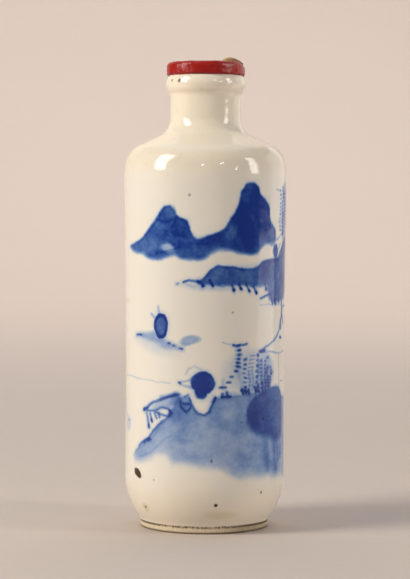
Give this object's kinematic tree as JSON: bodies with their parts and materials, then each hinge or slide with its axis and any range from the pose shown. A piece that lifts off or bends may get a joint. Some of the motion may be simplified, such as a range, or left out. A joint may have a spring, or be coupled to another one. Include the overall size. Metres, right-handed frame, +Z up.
{
  "type": "snuff bottle",
  "caption": "Slim cylindrical porcelain snuff bottle with short neck, painted blue landscape, red ring collar on the lip, and open mouth.",
  "frame": {"origin": "centre of the foot ring on the surface the bottle stands on", "axes": "+Z up along the bottle's axis, -Y towards the front of the painting, +X to the front's right"},
  "size_m": [0.0282, 0.0282, 0.0809],
  "materials": {
    "porcelain": "cream glaze with underglaze blue painting, bare foot ring",
    "red_collar": "uneven coral-red moulded surface, half gloss",
    "old_wax": "dull ochre wax, browner at one end"
  },
  "bodies": {
    "root": {"bottle": "porcelain", "collar": "red_collar", "wax_smear": "old_wax"}
  },
  "joints": []
}
